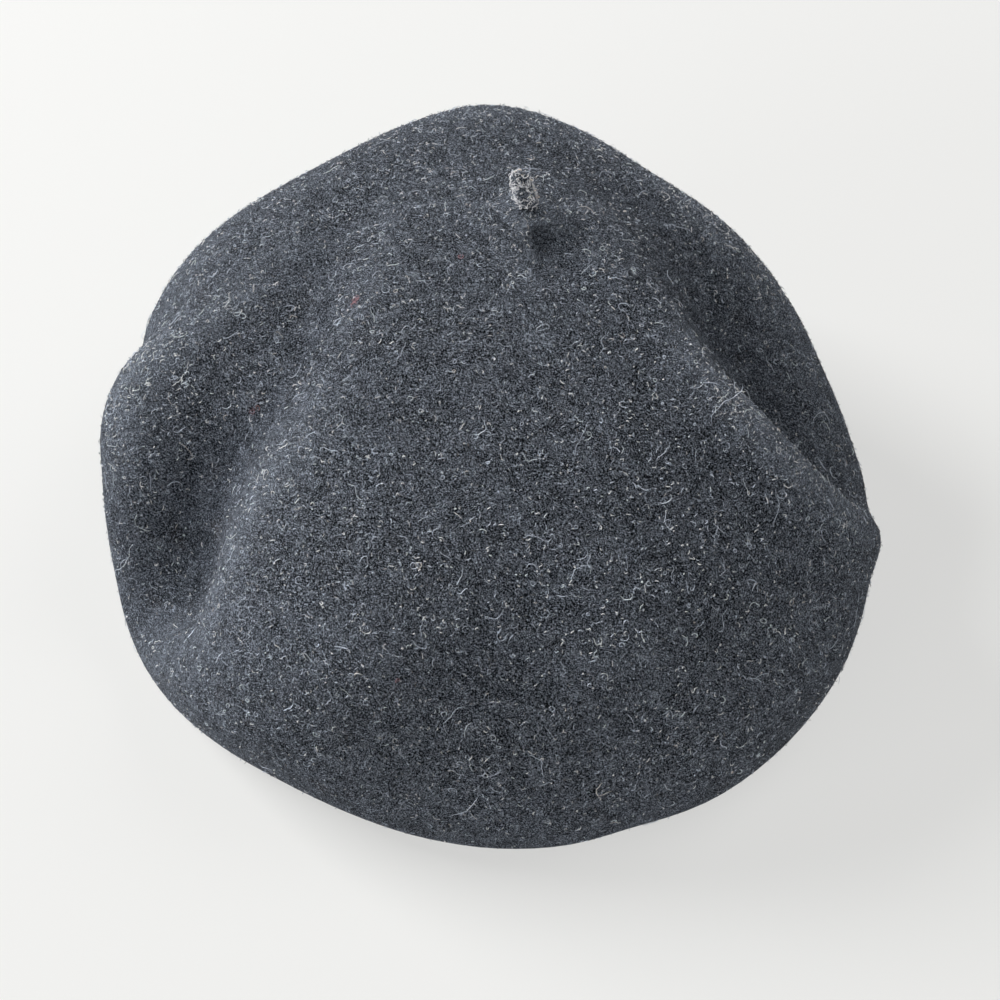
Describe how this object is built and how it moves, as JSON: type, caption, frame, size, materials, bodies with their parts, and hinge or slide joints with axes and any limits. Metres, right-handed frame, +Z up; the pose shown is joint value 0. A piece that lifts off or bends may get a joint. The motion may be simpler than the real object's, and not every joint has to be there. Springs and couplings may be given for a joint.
{
  "type": "basque beret",
  "caption": "Soft round wool-felt beret with a full crown in long radial folds, turned under to a plain head opening, and a short felt stalk on top.",
  "frame": {"origin": "centre of the beret's plan, on the surface that it lies on", "axes": "+Z up out of the crown, -Y to the front, where the crown flops lowest, +X to its right in the picture"},
  "size_m": [0.2484, 0.2486, 0.1161],
  "materials": {
    "felt": "matt, hairy charcoal wool felt",
    "stalk_felt": "matt, curly lighter grey wool"
  },
  "bodies": {
    "root": {"crown": "felt", "stalk": "stalk_felt"}
  },
  "joints": []
}
